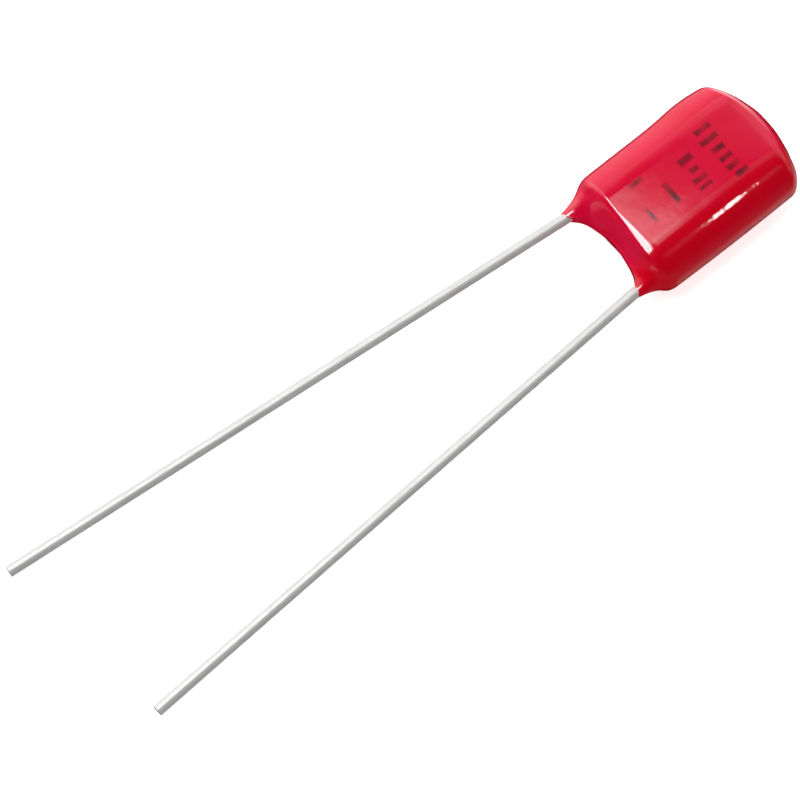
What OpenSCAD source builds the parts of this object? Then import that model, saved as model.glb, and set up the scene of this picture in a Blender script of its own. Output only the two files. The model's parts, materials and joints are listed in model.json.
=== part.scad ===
// Dipped film capacitor: a flat roll of film and foil on two wire leads, under a coat of resin.
// It lies on its back. +Y runs up the body, away from the leads, and +Z out of the front face.
// The origin is the middle of the flat back face. All sizes are in millimetres.

/* [Roll] */
// Thickness of each film strip
film_t = 0.055; // [0.03:0.005:0.08]
// Thickness of each foil strip
foil_t = 0.03; // [0.02:0.01:0.06]
// Air between one layer and the next
layer_gap = 0.005; // [0.003:0.001:0.01]
// Height of the slit that the winding mandrel leaves in the middle
slit_h = 0.04; // [0.02:0.01:0.2]
// Turns of film alone at the core
core_turns = 1; // [1:1:3]
// Turns that hold foil as well
foil_turns = 5; // [3:1:8]
// Turns of film alone round the outside
wrap_turns = 1; // [1:1:3]
// Width of the film strips, up the body
film_w = 6.4; // [4:0.2:12]
// How far the foils stay back from each edge of the films
foil_margin = 0.5; // [0.2:0.1:1]

/* [Leads] */
// Wire diameter
lead_d = 0.5; // [0.4:0.05:0.8]
// Distance between the two wires where they leave the coat
lead_pitch = 4.35; // [4:0.05:7.5]
// Length of the left wire outside the coat
left_lead_len = 27.5; // [12:0.1:40]
// Length of the right wire outside the coat
right_lead_len = 26.4; // [12:0.1:40]
// Angle that the left wire leans outwards, in degrees
left_splay = 6.2; // [1:0.1:15]
// Angle that the right wire leans outwards, in degrees
right_splay = 2.5; // [1:0.1:15]
// Radius of the slight bend where each wire leaves the coat
bend_r = 1.5; // [0.8:0.1:4]
// Straight wire between the coat's lip and the bend
bend_start = 0.05; // [0.02:0.01:0.5]
// Clearance on each side of a wire, in the roll and in the coat
lead_gap = 0.015; // [0.012:0.001:0.03]
// How far a wire's inner end stops short of the roll's upper end
lead_inset = 1.2; // [0.5:0.1:3]

/* [Coat] */
// Thinnest resin round the sides of the roll
coat_wall = 0.35; // [0.2:0.05:1]
// Clearance between the roll and the coat
potting_gap = 0.01; // [0.005:0.005:0.05]
// Resin between the lower rim and the roll
base_cover = 0.25; // [0.1:0.05:1]
// Resin over the upper corners of the roll
end_cover = 0.28; // [0.2:0.02:1]
// Height of the rounding at the upper end
dome_h = 1.06; // [0.6:0.02:1.6]
// How far the dome falls from the middle to its shoulders
shoulder_drop = 0.87; // [0.3:0.01:1]
// Share of that fall that is already there where the dome begins
shoulder_start = 0.25; // [0:0.05:0.5]
// How far the dome leans up to the right
dome_lean = 0.13; // [0:0.01:0.3]
// How far the resin hangs below the rim midway between the wires
web_drop = 0.39; // [0.2:0.01:0.8]
// How far the resin's cones hang below the rim at the wires
cone_drop = 0.88; // [0.6:0.01:1.5]
// How far the lower rim rises at the sides
rim_rise = 0.27; // [0:0.01:0.5]
// Extra height of the film of resin that creeps down each wire
creep_h = 0.36; // [0.1:0.01:1]
// Distance from the wire over which the creep fades
creep_reach = 0.2; // [0.1:0.05:0.4]
// Resin left round a wire at the lip
lip_t = 0.04; // [0.03:0.01:0.1]

/* [Hidden] */

// Smoothness
fold_steps = 16;      // flats in each half round of the roll
corner_steps = 8;     // flats in each quarter round of the coat
panel_steps = 8;      // columns from the middle of the coat to its side
base_steps = 12;      // rings in the lower end
dome_steps = 9;       // rings in the dome
dome_sweep = 88;      // degrees of the dome's rounding that the rings cover

// Curve of the lower end
web_curve = 1.2;      // power of the hanging curve between the wires
cone_share = 0.3;     // share of the cone that is full and round, the rest is hollow
cone_hollow = 3.6;    // power of the hollow part
rim_round = 1.5;      // power of the rounding under the rim
creep_fade = 6;       // power that ends the creep at the rim
rise_start = 3.75;    // power that ends the rise of the rim towards the lips
rise_curve = 4;       // power of that rise towards the sides
dome_fade = 4;        // power that ends the crown where the dome begins

// Layers of one turn, counted outwards: film_inner, foil_right, film_outer, foil_left
turn_pitch = 2 * (film_t + foil_t) + 4 * layer_gap;
foil_right_at = film_t + layer_gap;
film_outer_at = foil_right_at + foil_t + layer_gap;
foil_left_at = film_outer_at + film_t + layer_gap;
last_foil_turn = core_turns + foil_turns - 1;
last_film_turn = last_foil_turn + wrap_turns;

// The right wire lies on the last turn of its foil and the left wire one turn further in,
// which puts both at the same distance from the middle.
right_pocket = last_foil_turn * turn_pitch + foil_right_at + foil_t;
left_pocket = (last_foil_turn - 1) * turn_pitch + foil_left_at + foil_t;
lead_room = lead_d + 2 * lead_gap;
pocket_shift = lead_room - layer_gap;
fold_half = lead_pitch / 2 - lead_room / 2 - right_pocket - slit_h / 2;

// Cavity round the roll
roll_half_h = slit_h / 2 + last_film_turn * turn_pitch + film_outer_at + film_t;
roll_lift = turn_pitch / 4;
cavity_half = fold_half + pocket_shift;
cavity_r = roll_half_h + potting_gap;
roll_top = base_cover + film_w;

// Outside of the coat
coat_t = 2 * (cavity_r + roll_lift + coat_wall);
coat_w = 2 * (cavity_half + cavity_r + coat_wall);
coat_r = coat_t / 2;
coat_half = coat_w / 2 - coat_r;
corner_share = (cavity_r + roll_lift) / coat_r;
corner_x = (cavity_half + cavity_r) / (coat_w / 2);
corner_fall = dome_h * (1 - sqrt(1 - pow(corner_share, 2)))
    + (shoulder_drop * pow(corner_x, 2) + dome_lean * corner_x)
    * (1 - (1 - shoulder_start) * pow(corner_share, dome_fade));
coat_h = roll_top + end_cover + corner_fall;
panel_h = coat_h - dome_h;
lip_r = lead_d / 2 + lip_t;
lip_y = -cone_drop - creep_h;
bore_over = 0.5;      // how far the bores are cut past both ends

// ---- Roll ----

// Half height of a turn at the right-hand fold, for a face that lies offset outwards in its turn
function level(turn, offset) = slit_h / 2 + turn * turn_pitch + offset;

// Layers outside a pocket are pushed out to make room for the wire
function pushed(turn, offset, pocket) =
    turn * turn_pitch + offset > pocket + layer_gap / 2 ? fold_half + pocket_shift : fold_half;

function right_fold(turn, offset) = [
    for (i = [0:fold_steps])
        let (a = 180 * i / fold_steps - 90, r = level(turn, offset))
        [pushed(turn, offset, right_pocket) + r * cos(a), r * sin(a)]
];

// Each left-hand fold comes down half a turn's pitch lower, so the next turn lies outside
function left_fold(turn, offset) = [
    for (i = [0:fold_steps])
        let (a = 180 * i / fold_steps + 90, r = level(turn, offset) + turn_pitch / 2)
        [-pushed(turn, offset, left_pocket) + r * cos(a), r * sin(a) - turn_pitch / 2]
];

// One face of a strip, from the middle of its first lower flat to the middle of its last upper flat
function strip_face(first, last, offset) = concat(
    [[0, -level(first, offset)]],
    [for (turn = [first:last]) each concat(
        right_fold(turn, offset),
        turn < last ? left_fold(turn, offset) : [])],
    [[0, level(last, offset)]]
);

function backwards(list) = [for (i = [len(list) - 1:-1:0]) list[i]];

module strip(first, last, offset, thickness, margin) {
    inner = strip_face(first, last, offset);
    outer = strip_face(first, last, offset + thickness);
    translate([0, roll_top - margin, roll_lift])
        rotate([90, 0, 0])
            linear_extrude(film_w - 2 * margin)
                polygon(concat(outer, backwards(inner)));
}

module roll_space() {
    translate([0, roll_top + potting_gap, roll_lift])
        rotate([90, 0, 0])
            linear_extrude(film_w + 2 * potting_gap)
                union() {
                    square([2 * cavity_half, 2 * cavity_r], center = true);
                    for (side = [-1, 1])
                        translate([side * cavity_half, 0])
                            circle(r = cavity_r, $fn = 64);
                }
}

// ---- Coat ----

// Outline across the body: two half rounds of radius r, their centres half apart from the middle
function quarter_outline(half, r) = concat(
    [for (i = [0:corner_steps]) let (a = 90 * i / corner_steps) [half + r * cos(a), r * sin(a)]],
    [for (i = [1:panel_steps]) [half * (1 - i / panel_steps), r]]
);

function half_outline(quarter) = concat(
    quarter,
    [for (i = [len(quarter) - 2:-1:0]) [-quarter[i][0], quarter[i][1]]]
);

function whole_outline(upper) = concat(
    upper,
    [for (i = [len(upper) - 2:-1:1]) [upper[i][0], -upper[i][1]]]
);

function outline(half, r) = whole_outline(half_outline(quarter_outline(half, r)));

// 0 midway between the wires, 1 at a wire and outside it
function nearness(x) = pow(min(1, abs(x) / (lead_pitch / 2)), web_curve);

// Profile from the lips, share 0, out to the rim, share 1
function profile(share, roundness) =
    roundness * pow(1 - pow(share, rim_round), 1 / rim_round)
    + (1 - roundness) * pow(1 - share, cone_hollow);

function creep(x, z, share) =
    creep_h * exp(-max(0, norm([abs(x) - lead_pitch / 2, z]) - lead_d / 2) / creep_reach)
    * (1 - pow(share, creep_fade));

function base_y(x, z, share) =
    let (near = nearness(x), drop = web_drop + (cone_drop - web_drop) * near)
    -drop * profile(share, 1 - (1 - cone_share) * near) - creep(x, z, share)
    + rim_rise * pow(abs(x) / (coat_w / 2), rise_curve) * pow(share, rise_start);

function blend(a, b, share) = a + (b - a) * share;

function base_ring(share) = [
    for (p = outline(blend(lead_pitch / 2, coat_half, share), blend(lip_r, coat_r, share)))
        [p[0], base_y(p[0], p[1], share), p[1]]
];

function dome_y(x, share) =
    let (across = x / (coat_w / 2))
    panel_h + dome_h * sqrt(1 - pow(share, 2))
    + (dome_lean * across - shoulder_drop * pow(across, 2))
    * (1 - (1 - shoulder_start) * pow(share, dome_fade));

function dome_ring(share) = [
    for (p = outline(coat_half, coat_r * share))
        [p[0], dome_y(p[0], share), p[1]]
];

module coat_body() {
    rings = concat(
        [for (i = [0:base_steps]) base_ring((1 - cos(180 * i / base_steps)) / 2)],
        [for (i = [0:dome_steps]) dome_ring(cos(dome_sweep * i / dome_steps))]
    );
    count = len(rings[0]);
    last = len(rings) - 1;
    band_faces = [
        for (i = [0:last - 1], j = [0:count - 1])
            let (a = i * count + j, b = i * count + (j + 1) % count)
            each [[a, a + count, b], [b, a + count, b + count]]
    ];
    lower_end = [
        for (j = [0:count / 2 - 1])
            let (a = j, b = j + 1, c = count - j - 1, d = (count - j) % count)
            each concat(b == c ? [] : [[a, b, c]], d == a ? [] : [[a, c, d]])
    ];
    upper_end = [for (f = lower_end) [for (k = [2:-1:0]) f[k] + last * count]];
    polyhedron(points = [for (ring = rings) each ring], faces = concat(band_faces, lower_end, upper_end));
}

module lead_bore(side) {
    depth = base_cover - lip_y + 2 * bore_over;
    translate([side * lead_pitch / 2, base_cover + bore_over, 0])
        rotate([90, 0, 0])
            cylinder(h = depth, r = lead_d / 2 + lead_gap, $fn = 48);
}

// ---- Leads ----

// A wire along +Z that turns towards +X just after the lip
module bent_wire(inside, turn, outside) {
    straight = inside + bend_start;
    bend_h = bend_r * sin(turn);
    translate([0, 0, -inside])
        cylinder(h = straight, r = lead_d / 2, $fn = 32);
    translate([bend_r, 0, bend_start])
        rotate([90, 0, 180])
            rotate_extrude(angle = turn, $fn = 64)
                translate([bend_r, 0])
                    circle(r = lead_d / 2, $fn = 32);
    translate([bend_r * (1 - cos(turn)), 0, bend_start + bend_h])
        rotate([0, turn, 0])
            cylinder(h = outside - bend_start - bend_h, r = lead_d / 2, $fn = 32);
}

// Each wire droops just enough for its tip to rest on the table
module lead(side, splay, outside) {
    inside = roll_top - lead_inset - lip_y;
    droop = asin((coat_r - lead_d / 2) / outside);
    turn = acos(cos(splay) * cos(droop));
    heading = atan2(-sin(droop), side * sin(splay) * cos(droop));
    translate([side * lead_pitch / 2, lip_y, 0])
        rotate([90, 0, 0])
            rotate([0, 0, heading])
                bent_wire(inside, turn, outside);
}

// ---- Nodes ----

module place() {
    translate([0, -panel_h / 2, coat_r])
        children();
}

module epoxy_coat() {
    color("crimson")
        place()
            difference() {
                coat_body();
                roll_space();
                lead_bore(-1);
                lead_bore(1);
            }
}

module film_inner() {
    color("beige")
        place()
            strip(0, last_film_turn, 0, film_t, 0);
}

module film_outer() {
    color("beige")
        place()
            strip(0, last_film_turn, film_outer_at, film_t, 0);
}

module foil_left() {
    color("silver")
        place()
            strip(core_turns, last_foil_turn, foil_left_at, foil_t, foil_margin);
}

module foil_right() {
    color("silver")
        place()
            strip(core_turns, last_foil_turn, foil_right_at, foil_t, foil_margin);
}

module lead_left() {
    color("gainsboro")
        place()
            lead(-1, left_splay, left_lead_len);
}

module lead_right() {
    color("gainsboro")
        place()
            lead(1, right_splay, right_lead_len);
}

epoxy_coat();
film_inner();
film_outer();
foil_left();
foil_right();
lead_left();
lead_right();
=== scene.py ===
# A dipped film capacitor lying on its back: a red resin body on two long tinned wires.
import json
import math

import bmesh
import bpy
from mathutils import Matrix, Vector, noise


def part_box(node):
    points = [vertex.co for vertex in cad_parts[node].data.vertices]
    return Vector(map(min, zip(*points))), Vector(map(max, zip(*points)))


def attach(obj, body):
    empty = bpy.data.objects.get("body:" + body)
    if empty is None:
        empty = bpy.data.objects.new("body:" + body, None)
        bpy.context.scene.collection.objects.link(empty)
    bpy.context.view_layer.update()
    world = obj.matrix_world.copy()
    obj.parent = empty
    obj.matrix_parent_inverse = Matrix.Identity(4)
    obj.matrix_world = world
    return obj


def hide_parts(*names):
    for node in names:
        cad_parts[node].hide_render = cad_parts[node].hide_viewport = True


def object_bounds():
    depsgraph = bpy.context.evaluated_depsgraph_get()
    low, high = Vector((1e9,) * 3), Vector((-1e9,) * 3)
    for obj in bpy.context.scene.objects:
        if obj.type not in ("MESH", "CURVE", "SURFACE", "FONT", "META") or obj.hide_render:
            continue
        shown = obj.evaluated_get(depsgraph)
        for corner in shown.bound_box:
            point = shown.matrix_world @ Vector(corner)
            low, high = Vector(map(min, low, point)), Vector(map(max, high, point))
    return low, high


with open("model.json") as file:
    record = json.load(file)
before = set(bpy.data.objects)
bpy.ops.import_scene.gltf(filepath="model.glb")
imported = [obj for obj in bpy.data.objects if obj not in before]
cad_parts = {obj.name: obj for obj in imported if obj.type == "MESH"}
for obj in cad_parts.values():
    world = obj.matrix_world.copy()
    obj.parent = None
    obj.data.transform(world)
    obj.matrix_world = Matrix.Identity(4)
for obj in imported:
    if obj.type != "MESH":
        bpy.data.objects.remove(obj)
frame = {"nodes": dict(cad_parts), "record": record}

cadLow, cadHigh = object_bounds()
mm = 0.001   # shapes are worked out in millimetres and scaled to metres at the end


def blend(start, end, share):
    return start + (end - start) * share


def newObject(name, bm):
    mesh = bpy.data.meshes.new(name)
    bm.to_mesh(mesh)
    bm.free()
    for face in mesh.polygons:
        face.use_smooth = True
    thing = bpy.data.objects.new(name, mesh)
    bpy.context.scene.collection.objects.link(thing)
    return thing


def newMaterial(name):
    material = bpy.data.materials.new(name)
    material.use_nodes = True
    tree = material.node_tree
    tree.nodes.clear()
    output = tree.nodes.new("ShaderNodeOutputMaterial")
    shader = tree.nodes.new("ShaderNodeBsdfPrincipled")
    tree.links.new(shader.outputs["BSDF"], output.inputs["Surface"])
    return material, tree, shader


def objectPlace(tree, turn=(0, 0, 0), squeeze=1):
    # object coordinates in millimetres, turned first, with y squeezed for marks that run across it
    coords = tree.nodes.new("ShaderNodeTexCoord")
    move = tree.nodes.new("ShaderNodeMapping")
    move.vector_type = "TEXTURE"
    move.inputs["Rotation"].default_value = turn
    move.inputs["Scale"].default_value = (mm, mm / squeeze, mm)
    tree.links.new(coords.outputs["Object"], move.inputs["Vector"])
    return move.outputs["Vector"]


def noiseAt(tree, place, scale, detail=3.0, roughness=0.5):
    texture = tree.nodes.new("ShaderNodeTexNoise")
    texture.inputs["Scale"].default_value = scale
    texture.inputs["Detail"].default_value = detail
    texture.inputs["Roughness"].default_value = roughness
    tree.links.new(place, texture.inputs["Vector"])
    return texture.outputs["Fac"]


def calc(tree, operation, first, second=None, third=None, clamp=False):
    node = tree.nodes.new("ShaderNodeMath")
    node.operation = operation
    node.use_clamp = clamp
    for socket, value in zip(node.inputs, (first, second, third)):
        if value is None:
            continue
        if isinstance(value, (int, float)):
            socket.default_value = value
        else:
            tree.links.new(value, socket)
    return node.outputs["Value"]


def stretch(tree, value, fromLow, fromHigh, toLow, toHigh, smooth=False):
    node = tree.nodes.new("ShaderNodeMapRange")
    node.interpolation_type = "SMOOTHSTEP" if smooth else "LINEAR"
    node.inputs["From Min"].default_value = fromLow
    node.inputs["From Max"].default_value = fromHigh
    node.inputs["To Min"].default_value = toLow
    node.inputs["To Max"].default_value = toHigh
    tree.links.new(value, node.inputs["Value"])
    return node.outputs["Result"]


def mixColours(tree, share, first, second):
    node = tree.nodes.new("ShaderNodeMix")
    node.data_type = "RGBA"
    tree.links.new(share, node.inputs[0])
    for socket, colour in ((node.inputs[6], first), (node.inputs[7], second)):   # A and B as colours
        if isinstance(colour, tuple):
            socket.default_value = (*colour, 1)
        else:
            tree.links.new(colour, socket)
    return node.outputs[2]


def cloudColours(tree, cloud, low, high, first, second):
    # one colour in the cloud's dark parts and another in its light ones
    return mixColours(tree, stretch(tree, cloud, low, high, 0, 1), first, second)


def bumpFrom(tree, height, strength, distance):
    node = tree.nodes.new("ShaderNodeBump")
    node.inputs["Strength"].default_value = strength
    node.inputs["Distance"].default_value = distance
    tree.links.new(height, node.inputs["Height"])
    return node.outputs["Normal"]


coat = {
    "domeHeight": 1.06,       # mm, rounding at the upper end
    "shoulderDrop": 0.87,     # mm, fall of the dome towards its sides
    "shoulderStart": 0.25,    # share of that fall already there where the dome begins
    "domeLean": 0.13,         # mm, how far the dome leans up to the right
    "cornerFill": 0.17,       # mm more resin at the upper right corner
    "cornerFrom": 0.6,        # place across the dome, from -1 to 1, where it begins
    "cornerTo": 0.88,
    # place across the dome from -1 to 1, spread and height in mm of its slow waves
    "domeWaves": [(-0.2, 0.2, 0.04), (0.45, 0.2, -0.05)],
    "webDrop": 0.43,          # mm, resin hanging midway between the wires
    "webRounding": 0.12,      # mm, how far the web's lower edge bulges
    "webCurve": 1.2,          # higher keeps the web level for longer on its way to a wire
    "leftConeDrop": 0.95,     # mm, resin hanging at the left wire
    "rightConeDrop": 0.92,    # mm, resin hanging at the right wire
    "coneShare": 0.7,         # how much of the profile at a wire is a hollow cone
    "coneHollow": 3.6,        # higher makes the cone hollower
    "rimFullness": 1.5,       # higher makes the rim squarer
    "rimRise": 0.27,          # mm, how far the lower rim rises at the sides
    "rimSlope": 0.095,        # how steeply the front rim runs down to the right
    "rimSlopeStart": -1.3,    # mm from the middle where it begins to
    "rimSlopeLength": 3,      # mm
    "leftCreep": 0.58,        # mm, thin resin that creeps down the left wire
    "rightCreep": 0.42,       # mm
    "creepReach": 0.2,        # mm
    "lipThickness": 0.04,     # mm of resin round a wire at the lip
    "rollSlope": 0.34,        # how steeply the front panel rolls over at its rim
    "rollWidth": 0.10,        # mm, at the left end of the rim
    "rollGrowth": 0.15,       # mm wider for each mm to the right
    "rollGrowthStart": -1.2,  # mm from the middle where it begins to widen
    "rollGrowthLength": 2.8,  # mm
    "rollSoftness": 0.18,     # mm
    "panelCrown": 0.06,       # mm, fall of the front panel towards its edges
    "crownReach": 0.7,        # share of a side's rounding that the crown reaches over
    "sideCrown": 0.03,        # mm, how far the sides draw in towards both ends
    # mm from the middle, mm below the dome, spread and height in mm
    "leftSwell": (-3.0, 1.2, 1.7, 0.15),      # resin that gathered on the upper left side
    "shoulderSag": (-3.0, 0.7, 1.5, 0.04),    # resin that ran off the left shoulder
    "waviness": 0.012,        # mm, flow marks left by the dipping
    "slowWave": 0.45,         # waves to a mm
    "quickWave": 1.1,
    "quickShare": 0.3,        # share of the flow marks that are quick
    "cornerSteps": 8,
    "panelSteps": 10,
    "webShares": (0, 0.5, 0.85),              # rings that close the web from its middle
    "baseRings": 14,
    # rings up the sides, closest near the rim
    "sideShares": (0.007, 0.015, 0.025, 0.037, 0.05, 0.075, 0.11,
                   0.19, 0.3, 0.42, 0.54, 0.66, 0.78, 0.88, 0.95),
    "domeRings": 12,
    "doublesWithin": 1e-4,    # mm
}

coatLow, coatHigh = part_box("epoxy_coat")
wireRadius = frame["record"]["mounts"][0]["dims"]["r_mm"]
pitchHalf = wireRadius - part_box("lead_left")[1].x / mm   # from the middle to a wire's axis
coatRadius = (coatHigh.z - coatLow.z) / mm / 2
coatHalf = (coatHigh.x - coatLow.x) / mm / 2 - coatRadius
# a dome that leans peaks this far above its middle
peakRise = coat["domeLean"] ** 2 / (4 * coat["shoulderDrop"])
# the front panel and the back are flat for this far above and below the origin
panelHalf = coatHigh.y / mm - coat["domeHeight"] - peakRise
rimY = -panelHalf
midZ = coatRadius


def quarterOutline(half, radius):
    corner, panel = coat["cornerSteps"], coat["panelSteps"]
    angles = [math.pi / 2 * i / corner for i in range(corner + 1)]
    arc = [(half + radius * math.cos(angle), radius * math.sin(angle)) for angle in angles]
    return arc + [(half * (1 - i / panel), radius) for i in range(1, panel + 1)]


def outline(half, radius):
    # once round a flat-sided ring, as x and z from its middle
    quarter = quarterOutline(half, radius)
    upper = quarter + [(-x, z) for x, z in quarter[-2::-1]]
    return upper + [(x, -z) for x, z in upper[-2:0:-1]]


def nearness(x):
    # 0 midway between the wires and 1 at a wire or beyond it
    return min(1, abs(x) / pitchHalf) ** coat["webCurve"]


def profile(share, roundness):
    # how far the lower end has still to drop, from all of it at share 0 to nothing at the rim
    power = coat["rimFullness"]
    full = (1 - share ** power) ** (1 / power)
    hollow = (1 - share) ** coat["coneHollow"]
    return roundness * full + (1 - roundness) * hollow


def creep(x, z, share):
    away = max(0, math.hypot(abs(x) - pitchHalf, z) - wireRadius)
    height = coat["leftCreep"] if x < 0 else coat["rightCreep"]
    return height * math.exp(-away / coat["creepReach"]) * (1 - share ** 6)


def easeBetween(value, low, high):
    share = min(1, max(0, (value - low) / (high - low)))
    return share * share * (3 - 2 * share)


def frontRim(x):
    along = x - coat["rimSlopeStart"]
    return rimY - coat["rimSlope"] * min(coat["rimSlopeLength"], max(0, along))


def baseRing(share):
    # share 0 at the lips round the wires and 1 at the rim; the powers keep a rise close to the rim
    half = blend(pitchHalf, coatHalf, share)
    radius = blend(wireRadius + coat["lipThickness"], coatRadius, share)
    ring = []
    for x, z in outline(half, radius):
        near = nearness(x)
        coneDrop = coat["leftConeDrop"] if x < 0 else coat["rightConeDrop"]
        drop = blend(coat["webDrop"], coneDrop, near)
        y = rimY - drop * profile(share, 1 - coat["coneShare"] * near) - creep(x, z, share)
        y += coat["rimRise"] * (abs(x) / (coatHalf + coatRadius)) ** 4 * share ** 3.75
        y += (frontRim(x) - rimY) * (max(0, z) / coatRadius) ** 2 * share ** 2
        ring.append(Vector((x, y, z + midZ)))
    return ring


def webRing(share):
    # closes the lower end under the web, share 0 at the middle and 1 at the lips
    lips = outline(pitchHalf, (wireRadius + coat["lipThickness"]) * share)
    ring = []
    for (x, z), lip in zip(lips, baseRing(0)):
        rounding = coat["webRounding"] * (1 - nearness(x)) * math.sqrt(1 - share ** 2)
        ring.append(Vector((x, lip.y - rounding, z + midZ)))
    return ring


def domeFall(across):
    # how far the dome's ridge lies below its middle, -1 at the left side and 1 at the right
    fall = coat["shoulderDrop"] * across ** 2 - coat["domeLean"] * across
    fall -= coat["cornerFill"] * easeBetween(across, coat["cornerFrom"], coat["cornerTo"])
    for spot, spread, height in coat["domeWaves"]:
        fall -= height * math.exp(-((across - spot) / spread) ** 2)
    return fall


def domeRing(share):
    # share 1 where the dome begins and 0 along its ridge
    ring = []
    for x, z in outline(coatHalf, coatRadius * share):
        y = panelHalf + coat["domeHeight"] * math.sqrt(1 - share ** 2)
        fall = domeFall(x / (coatHalf + coatRadius))
        y -= fall * (1 - (1 - coat["shoulderStart"]) * share ** 4)
        ring.append(Vector((x, y, z + midZ)))
    return ring


def coatRings():
    rings = [webRing(share) for share in coat["webShares"]]
    count = coat["baseRings"]
    rings += [baseRing((1 - math.cos(math.pi * i / count)) / 2) for i in range(count - 1)]
    rim, shoulder = baseRing(1), domeRing(1)
    for share in coat["sideShares"]:
        rings.append([low.lerp(high, share) for low, high in zip(rim, shoulder)])
    count = coat["domeRings"]
    rings += [domeRing(math.cos(math.pi / 2 * i / count)) for i in range(count)]
    rings.append(domeRing(0))
    return rings


def rollOver(place):
    # how far the front panel falls where it rolls over its lower rim
    along = min(coat["rollGrowthLength"], max(0, place.x - coat["rollGrowthStart"]))
    width = coat["rollWidth"] + coat["rollGrowth"] * along
    inset = min(width, width - (place.y - frontRim(place.x)))
    soft = coat["rollSoftness"]
    if inset <= 0:
        return 0
    return coat["rollSlope"] * (inset ** 2 / (2 * soft) if inset < soft else inset - soft / 2)


def flowMark(place):
    slow = noise.noise(place * coat["slowWave"])
    quick = noise.noise(place * coat["quickWave"] + Vector((5, 1, 2)))
    return blend(slow, quick, coat["quickShare"])


def runs(place, run):
    # mm of resin that gathered or ran off, most in the middle of the run
    across, below, spread, height = run
    away = place.xy - Vector((across, panelHalf - below))
    return height * max(0, 1 - away.length_squared / spread ** 2) ** 2


def settle(bm):
    # crowns the front, lets the resin run and leaves slow waves in every face but the flat back
    bm.normal_update()
    for vert in bm.verts:
        place, normal = vert.co.copy(), vert.normal
        up = min(1, abs(place.y) / panelHalf)
        if normal.z > 0:
            out = min(1, abs(place.x) / (coatHalf + coatRadius * coat["crownReach"]))
            vert.co.z -= coat["panelCrown"] * (1 - (1 - out ** 2) * (1 - up ** 2)) * normal.z
            vert.co.z -= rollOver(place) * max(0, (place.z - midZ) / coatRadius) ** 2
        vert.co.x -= coat["sideCrown"] * up ** 2 * normal.x
        offBack = max(0, 1 + normal.z)   # 0 on the back, which stays flat
        vert.co.x -= runs(place, coat["leftSwell"]) * min(1, offBack)
        vert.co -= normal * runs(place, coat["shoulderSag"]) * min(1, offBack)
        wave = 1 + flowMark(place) - abs(normal.x)
        vert.co -= normal * coat["waviness"] * wave * min(1, offBack * 2)


def makeCoat():
    rings = coatRings()
    bm = bmesh.new()
    placeLayer = bm.verts.layers.int.new("place")   # each vertex's place in its ring
    start = bmesh.ops.create_circle(bm, cap_ends=False, radius=1, segments=len(rings[0]))
    for i, vert in enumerate(start["verts"]):
        vert[placeLayer] = i
        vert.co = rings[0][i]
    edges = list(bm.edges)
    for ring in rings[1:]:
        made = bmesh.ops.extrude_edge_only(bm, edges=edges)["geom"]
        verts = {part for part in made if isinstance(part, bmesh.types.BMVert)}
        edges = [part for part in made
                 if isinstance(part, bmesh.types.BMEdge) and verts.issuperset(part.verts)]
        for vert in verts:
            vert.co = ring[vert[placeLayer]]
    bmesh.ops.remove_doubles(bm, verts=bm.verts, dist=coat["doublesWithin"])
    bmesh.ops.recalc_face_normals(bm, faces=bm.faces)
    settle(bm)
    bmesh.ops.scale(bm, vec=(mm, mm, mm), verts=bm.verts)
    body = newObject("resinCoat", bm)
    smooth = body.modifiers.new("smooth", "SUBSURF")
    smooth.levels = smooth.render_levels = 2
    return body


printBars = {
    "softness": 0.08,         # mm over which a bar's edge fades under the resin
    "smear": 0.04,            # mm, how far the edges wander
    "smearScale": 4,          # wanderings to a mm
    "depth": 0.92,            # how dark the ink shows
    "wearScale": 1.9,         # worn spots to a mm
    "wornInk": 0.45,          # how much ink is left where it is worn most
    # mm from the middle to the right and up, then width and height in mm
    "bars": [
        (-1.16, 1.70, 0.24, 0.80), (-0.64, 1.62, 0.26, 0.88), (-0.10, 1.66, 0.24, 0.60),
        (0.40, 1.66, 0.24, 0.60), (0.86, 1.66, 0.24, 0.60), (1.30, 1.76, 0.24, 0.60),
        (-0.56, 0.26, 0.30, 0.70), (0.00, 0.26, 0.24, 0.40), (0.46, 0.20, 0.24, 0.70),
        (0.86, 0.20, 0.16, 0.60), (0.20, -1.14, 1.00, 0.24), (-1.08, -2.02, 0.22, 0.74),
        (0.42, -2.42, 0.70, 0.16),
    ],
}


def inkMask(tree, place):
    # dark where a plain bar is printed on the front panel
    smear, soft = printBars["smear"], printBars["softness"]
    wander = tree.nodes.new("ShaderNodeTexNoise")
    wander.inputs["Scale"].default_value = printBars["smearScale"]
    tree.links.new(place, wander.inputs["Vector"])
    shift = tree.nodes.new("ShaderNodeVectorMath")
    shift.operation = "MULTIPLY_ADD"
    shift.inputs[1].default_value = (smear * 2, smear * 2, smear * 2)
    shift.inputs[2].default_value = (-smear, -smear, -smear)
    tree.links.new(wander.outputs["Color"], shift.inputs[0])
    smeared = tree.nodes.new("ShaderNodeVectorMath")
    tree.links.new(place, smeared.inputs[0])
    tree.links.new(shift.outputs["Vector"], smeared.inputs[1])
    split = tree.nodes.new("ShaderNodeSeparateXYZ")
    tree.links.new(smeared.outputs["Vector"], split.inputs["Vector"])
    total = 0.0
    for across, up, width, height in printBars["bars"]:
        aside = calc(tree, "ABSOLUTE", calc(tree, "SUBTRACT", split.outputs["X"], across))
        above = calc(tree, "ABSOLUTE", calc(tree, "SUBTRACT", split.outputs["Y"], up))
        outside = calc(tree, "MAXIMUM", calc(tree, "SUBTRACT", aside, width / 2),
                       calc(tree, "SUBTRACT", above, height / 2))
        inside = stretch(tree, outside, -soft, soft, 1, 0, smooth=True)
        total = calc(tree, "MAXIMUM", total, inside)
    return total


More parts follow.
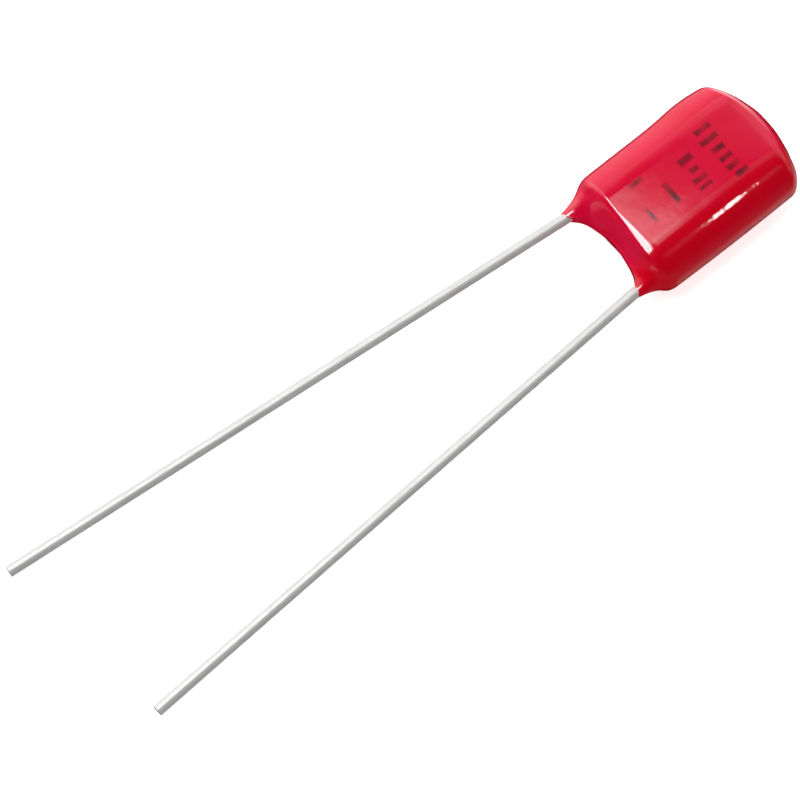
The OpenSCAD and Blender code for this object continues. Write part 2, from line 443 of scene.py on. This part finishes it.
resin = {
    # the deeper red gives random changes of tone and also the painted shade on the right side
    "deepRedAndShade": (0.83, 0.002, 0.018),
    "brightRed": (0.87, 0.004, 0.055),
    # the painted shade of deeper red grows from the first of these to the second
    "shadeFrom": 0.9,          # mm to the right of the middle where the deeper red begins
    "shadeTo": 2.0,
    "cloudScale": 0.35,       # slow changes of the red to a mm
    "inkRed": (0.11, 0.006, 0.016),
    "skinScale": 1.6,         # slow ripples of the skin to a mm
    "grainScale": 14,         # fine grains to a mm
    "grainShare": 0.03,       # height of a grain beside that of a ripple
    "skinDepth": 0.012,       # mm
    "roughness": (0.16, 0.24),                # of the red under the gloss
    "glossRoughness": 0.03,
    "glossIndex": 1.58,       # higher mirrors more light
}


def makeResin():
    material, tree, shader = newMaterial("dippedResin")
    place = objectPlace(tree)
    cloud = noiseAt(tree, place, resin["cloudScale"], detail=4)
    split = tree.nodes.new("ShaderNodeSeparateXYZ")
    tree.links.new(place, split.inputs["Vector"])
    # painted shade: the red is deeper towards the right side, the side that gets less light; the
    # cloud adds random changes of tone
    shadedSide = stretch(tree, split.outputs["X"], resin["shadeFrom"], resin["shadeTo"], 0, 1, smooth=True)
    bright = calc(tree, "SUBTRACT", stretch(tree, cloud, 0.2, 0.6, 0.4, 1), shadedSide, clamp=True)
    colour = mixColours(tree, bright, resin["deepRedAndShade"], resin["brightRed"])
    # the ink is on the front alone, and worn in places
    front = stretch(tree, split.outputs["Z"], midZ, midZ + coatRadius * 0.8, 0, 1)
    wear = noiseAt(tree, place, printBars["wearScale"], detail=2)
    left = stretch(tree, wear, 0.35, 0.62, printBars["wornInk"], 1)
    ink = calc(tree, "MULTIPLY", calc(tree, "MULTIPLY", inkMask(tree, place), front), left)
    ink = calc(tree, "MULTIPLY", ink, printBars["depth"])
    colour = mixColours(tree, ink, colour, resin["inkRed"])
    tree.links.new(colour, shader.inputs["Base Color"])
    skin = noiseAt(tree, place, resin["skinScale"], detail=2)
    grain = noiseAt(tree, place, resin["grainScale"])
    height = calc(tree, "MULTIPLY_ADD", grain, resin["grainShare"], skin)
    normal = bumpFrom(tree, height, 0.25, resin["skinDepth"] * mm)
    tree.links.new(normal, shader.inputs["Normal"])
    tree.links.new(normal, shader.inputs["Coat Normal"])
    rough = stretch(tree, noiseAt(tree, place, 2.5), 0.3, 0.7, *resin["roughness"])
    tree.links.new(rough, shader.inputs["Roughness"])
    shader.inputs["IOR"].default_value = 1.5
    shader.inputs["Specular IOR Level"].default_value = 0.12   # most of the gloss is the coat's
    shader.inputs["Coat Weight"].default_value = 1.0
    shader.inputs["Coat Roughness"].default_value = resin["glossRoughness"]
    shader.inputs["Coat IOR"].default_value = resin["glossIndex"]
    return material


coatPiece = makeCoat()
coatPiece.data.materials.append(makeResin())
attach(coatPiece, "root")
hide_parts("epoxy_coat")
print("resin coat made")


wire = {
    "brightTin": (0.81, 0.81, 0.80),
    "dullTin": (0.74, 0.74, 0.73),
    "scoredTin": (0.52, 0.52, 0.52),
    "scoreScale": 9,          # fine drawing marks to a mm round the wire
    "scoreLength": 4,         # mm, how long such a mark is
    "scoreShare": 0.35,       # how much of the marks' colour shows
    "scoreDepth": 0.01,       # mm
    "patchScale": 1.1,        # dull patches to a mm
    "metallic": 0.25,         # tin that has gone a little dull and pale
    "roughness": (0.38, 0.5),
}


def makeWireMetal(name, axis):
    # the drawing marks run along the wire's own axis
    material, tree, shader = newMaterial(name)
    lean = Vector((0, -1, 0)).rotation_difference(Vector(axis)).to_euler()
    along = objectPlace(tree, turn=tuple(lean))
    squash = tree.nodes.new("ShaderNodeMapping")
    around = wire["scoreScale"]
    squash.inputs["Scale"].default_value = (around, 1 / wire["scoreLength"], around)
    tree.links.new(along, squash.inputs["Vector"])
    score = noiseAt(tree, squash.outputs["Vector"], 1.0, detail=4, roughness=0.6)
    patch = noiseAt(tree, along, wire["patchScale"], detail=4, roughness=0.55)
    colour = cloudColours(tree, patch, 0.35, 0.7, wire["brightTin"], wire["dullTin"])
    scored = stretch(tree, score, 0.45, 0.75, 0, wire["scoreShare"])
    colour = mixColours(tree, scored, colour, wire["scoredTin"])
    tree.links.new(colour, shader.inputs["Base Color"])
    shader.inputs["Metallic"].default_value = wire["metallic"]
    tree.links.new(stretch(tree, patch, 0.3, 0.7, *wire["roughness"]), shader.inputs["Roughness"])
    tree.links.new(bumpFrom(tree, score, 0.25, wire["scoreDepth"] * mm), shader.inputs["Normal"])
    return material


def dress(node, material):
    piece = frame["nodes"][node]
    piece.data.materials.clear()
    piece.data.materials.append(material)


for node, mount in (("lead_left", 0), ("lead_right", 1)):
    pin = frame["record"]["mounts"][mount]
    dress(node, makeWireMetal(node + "Tin", pin["axis"]))
print("wires finished")


winding = {
    "deepFilm": (0.80, 0.77, 0.66),
    "paleFilm": (0.88, 0.86, 0.78),
    "filmHaze": 1.5,          # hazy spots to a mm
    "filmRoughness": (0.12, 0.22),
    "deepFoil": (0.80, 0.81, 0.82),
    "paleFoil": (0.90, 0.90, 0.91),
    "foilStreak": 0.4,        # rolling streaks to a mm
    "streakSqueeze": 60,      # how much closer they lie up the roll than round it
    "foilRoughness": (0.18, 0.3),
}


def makeFilm():
    material, tree, shader = newMaterial("polyesterFilm")
    haze = noiseAt(tree, objectPlace(tree), winding["filmHaze"])
    colour = cloudColours(tree, haze, 0.3, 0.7, winding["deepFilm"], winding["paleFilm"])
    tree.links.new(colour, shader.inputs["Base Color"])
    rough = stretch(tree, haze, 0.3, 0.7, *winding["filmRoughness"])
    tree.links.new(rough, shader.inputs["Roughness"])
    return material


def makeFoil():
    material, tree, shader = newMaterial("rolledFoil")
    place = objectPlace(tree, squeeze=winding["streakSqueeze"])
    streak = noiseAt(tree, place, winding["foilStreak"], detail=4)
    colour = cloudColours(tree, streak, 0.3, 0.7, winding["deepFoil"], winding["paleFoil"])
    tree.links.new(colour, shader.inputs["Base Color"])
    shader.inputs["Metallic"].default_value = 1.0
    rough = stretch(tree, streak, 0.3, 0.7, *winding["foilRoughness"])
    tree.links.new(rough, shader.inputs["Roughness"])
    return material


film, foil = makeFilm(), makeFoil()
for node in ("film_inner", "film_outer"):
    dress(node, film)
for node in ("foil_left", "foil_right"):
    dress(node, foil)
print("roll finished")


table = {
    "reach": 2.0,             # m from the middle to an edge
    "dullWhite": (0.93, 0.93, 0.93),
    "brightWhite": (0.95, 0.95, 0.95),
    "grainScale": 0.05,       # patches to a mm
    "roughness": 0.9,
    "gloss": 0.1,
    "glow": 0.46,             # light that the table itself sheds
    "show": 0.80,             # how bright that light looks
}

studio = {
    # direction, half angle of the bright middle and of its edge in degrees, strength
    "glows": [
        ((0.0, 0.788, 0.616), 0, 34, 0.739),
        ((-0.749, -0.244, 0.616), 0, 34, 1.37),
        ((0.485, 0.84, 0.242), 0, 34, 0.493),
        ((-0.485, 0.84, 0.242), 0, 34, 0.298),
        ((-0.97, 0.0, 0.242), 0, 34, 0.504),
        ((-0.696, 0.696, -0.174), 0, 34, 0.464),
        ((-0.951, -0.255, -0.174), 0, 34, 0.431),
        ((0.383, 0.663, -0.643), 0, 34, 0.544),
        ((-0.766, 0.0, -0.643), 0, 34, 0.117),
        ((0.6, 0.32, -0.7), 0, 40, 0.06),
        ((-0.2, -0.15, 0.968), 0, 14, 1.46),
        ((-0.6, 0.05, 0.798), 0, 14, 2.34),
        ((-0.6, 0.45, 0.661), 0, 14, 0.664),
        ((-0.9, 0.3, 0.1), 41, 45, 0.161),
        ((-0.9, 0.3, 0.1), 36, 40, 0.359),
        ((-0.85, -0.45, 0.05), 10, 30, 0.538),
        ((-0.6, 0.78, -0.05), 10, 30, 2.78),
    ],
    # soft boxes on a ceiling one unit up: x, y, half width and height, softness of both, strength
    "panes": [
        (-0.178, 0.10, 0.128, 0.20, 0.035, 0.06, 0.54),
        (-0.178, 0.05, 0.128, 0.22, 0.035, 0.04, 1.9),
        (-0.22, -0.30, 0.28, 0.25, 0.05, 0.05, 3.93),
        (-0.22, -0.30, 0.28, 0.15, 0.05, 0.04, 4.64),
        (-0.085, 0.247, 0.165, 0.048, 0.03, 0.03, 1.55),
        (-0.05, 0.30, 0.10, 0.30, 0.05, 0.20, 0.322),
        (-0.50, 0.60, 0.25, 0.20, 0.08, 0.10, 0.603),
    ],
    "horizon": 0.05,          # the ceiling ends this near to the level
    "lampDistance": 300,      # mm from the origin
    # name, shape, direction, width and height in mm, turn in degrees, power in watts
    "lamps": [
        ("streakLamp", "ELLIPSE", (0.6069, 0.3058, 0.7337), 6, 60, -21.3, 0.0165),
        ("rimLamp", "RECTANGLE", (-0.21, -0.27, 0.94), 160, 80, 0, 0.3),
    ],
}


def makeFloor():
    bm = bmesh.new()
    bmesh.ops.create_grid(bm, x_segments=1, y_segments=1, size=table["reach"])
    bmesh.ops.translate(bm, vec=(0, 0, cadLow.z), verts=bm.verts)
    floor = newObject("paleFloor", bm)
    material, tree, shader = newMaterial("paleFloor")
    grain = noiseAt(tree, objectPlace(tree), table["grainScale"], detail=2)
    colour = cloudColours(tree, grain, 0.3, 0.7, table["dullWhite"], table["brightWhite"])
    tree.links.new(colour, shader.inputs["Base Color"])
    shader.inputs["Roughness"].default_value = table["roughness"]
    shader.inputs["Specular IOR Level"].default_value = table["gloss"]
    # it looks brighter than the light that it sheds, so the shadow on it stays faint
    paths = tree.nodes.new("ShaderNodeLightPath")
    glow = stretch(tree, paths.outputs["Is Camera Ray"], 0, 1, table["glow"], table["show"])
    shader.inputs["Emission Color"].default_value = (1, 1, 1, 1)
    tree.links.new(glow, shader.inputs["Emission Strength"])
    floor.data.materials.append(material)
    floor.visible_glossy = False   # the studio's lower lights show in the resin in its place


def makeWorld():
    world = bpy.data.worlds.new("studio")
    bpy.context.scene.world = world
    world.use_nodes = True
    tree = world.node_tree
    tree.nodes.clear()
    coords = tree.nodes.new("ShaderNodeTexCoord")

    def facing(axis, inner, outer, strength):
        # bright round one direction, and dark further out
        dot = tree.nodes.new("ShaderNodeVectorMath")
        dot.operation = "DOT_PRODUCT"
        dot.inputs[1].default_value = Vector(axis).normalized()
        tree.links.new(coords.outputs["Generated"], dot.inputs[0])
        edge, core = math.cos(math.radians(outer)), math.cos(math.radians(inner))
        return stretch(tree, dot.outputs["Value"], edge, core, 0, strength, smooth=True)

    def within(value, middle, half, soft):
        away = calc(tree, "ABSOLUTE", calc(tree, "SUBTRACT", value, middle))
        return stretch(tree, away, half - soft, half + soft, 1, 0, smooth=True)

    split = tree.nodes.new("ShaderNodeSeparateXYZ")
    tree.links.new(coords.outputs["Generated"], split.inputs["Vector"])
    above = calc(tree, "GREATER_THAN", split.outputs["Z"], studio["horizon"])
    level = calc(tree, "MAXIMUM", split.outputs["Z"], studio["horizon"])
    ceilingX = calc(tree, "DIVIDE", split.outputs["X"], level)
    ceilingY = calc(tree, "DIVIDE", split.outputs["Y"], level)
    light = 0.0
    for axis, inner, outer, strength in studio["glows"]:
        light = calc(tree, "ADD", light, facing(axis, inner, outer, strength))
    for x, y, halfX, halfY, softX, softY, strength in studio["panes"]:
        inX, inY = within(ceilingX, x, halfX, softX), within(ceilingY, y, halfY, softY)
        pane = calc(tree, "MULTIPLY", calc(tree, "MULTIPLY", inX, inY), above)
        light = calc(tree, "MULTIPLY_ADD", pane, strength, light)
    paths = tree.nodes.new("ShaderNodeLightPath")
    seen = tree.nodes.new("ShaderNodeMix")
    tree.links.new(paths.outputs["Is Camera Ray"], seen.inputs["Factor"])
    tree.links.new(light, seen.inputs["A"])
    seen.inputs["B"].default_value = 1.0   # plain white behind the floor
    background = tree.nodes.new("ShaderNodeBackground")
    tree.links.new(seen.outputs["Result"], background.inputs["Strength"])
    output = tree.nodes.new("ShaderNodeOutputWorld")
    tree.links.new(background.outputs["Background"], output.inputs["Surface"])


def addLamp(name, shape, direction, width, height, turn, power):
    # a lamp that shows in glossy surfaces and adds no light of its own to the colours
    data = bpy.data.lights.new(name, "AREA")
    data.shape = shape
    data.size, data.size_y = width * mm, height * mm
    data.energy = power
    lamp = bpy.data.objects.new(name, data)
    bpy.context.scene.collection.objects.link(lamp)
    away = Vector(direction).normalized()
    lamp.location = away * studio["lampDistance"] * mm
    lamp.rotation_mode = "QUATERNION"
    spin = Matrix.Rotation(math.radians(turn), 3, "Z").to_quaternion()
    lamp.rotation_quaternion = away.to_track_quat("Z", "Y") @ spin
    lamp.visible_camera = lamp.visible_diffuse = False


shot = {
    "turn": 15.13,            # degrees that the camera stands round to the right of the body
    "tilt": 13.63,            # degrees that it stands down towards the wires
    "roll": 52.27,            # degrees that the body leans over to the right in the picture
    "distance": 220,          # mm from the body
    "width": 33.33,           # mm across the picture at the body
    "bodyMiddle": 0.45,       # share of the body's height where its place is measured
    "right": 12.033,          # mm from the middle of the picture to that place
    "up": 8.878,
}


def makeCamera():
    turn, tilt, roll = (math.radians(shot[name]) for name in ("turn", "tilt", "roll"))
    back = Vector((math.sin(turn) * math.cos(tilt), -math.sin(tilt), math.cos(turn) * math.cos(tilt)))
    up = (Vector((0, 1, 0)) - back * back.y).normalized()
    right = up.cross(back)
    pictureRight = right * math.cos(roll) + up * math.sin(roll)
    pictureUp = up * math.cos(roll) - right * math.sin(roll)
    height = panelHalf * 2 + coat["domeHeight"]
    body = Vector((0, rimY + shot["bodyMiddle"] * height, midZ))
    place = body - pictureRight * shot["right"] - pictureUp * shot["up"] + back * shot["distance"]
    data = bpy.data.cameras.new("camera")
    data.sensor_width = 36
    data.lens = data.sensor_width * shot["distance"] / shot["width"]
    data.clip_start, data.clip_end = 0.01, 10
    camera = bpy.data.objects.new("camera", data)
    bpy.context.scene.collection.objects.link(camera)
    turned = Matrix((pictureRight, pictureUp, back)).transposed()
    camera.matrix_world = Matrix.Translation(place * mm) @ turned.to_4x4()
    bpy.context.scene.camera = camera


makeFloor()
makeWorld()
for lamp in studio["lamps"]:
    addLamp(*lamp)
makeCamera()
bpy.context.scene.view_settings.view_transform = "Standard"
print("studio set")
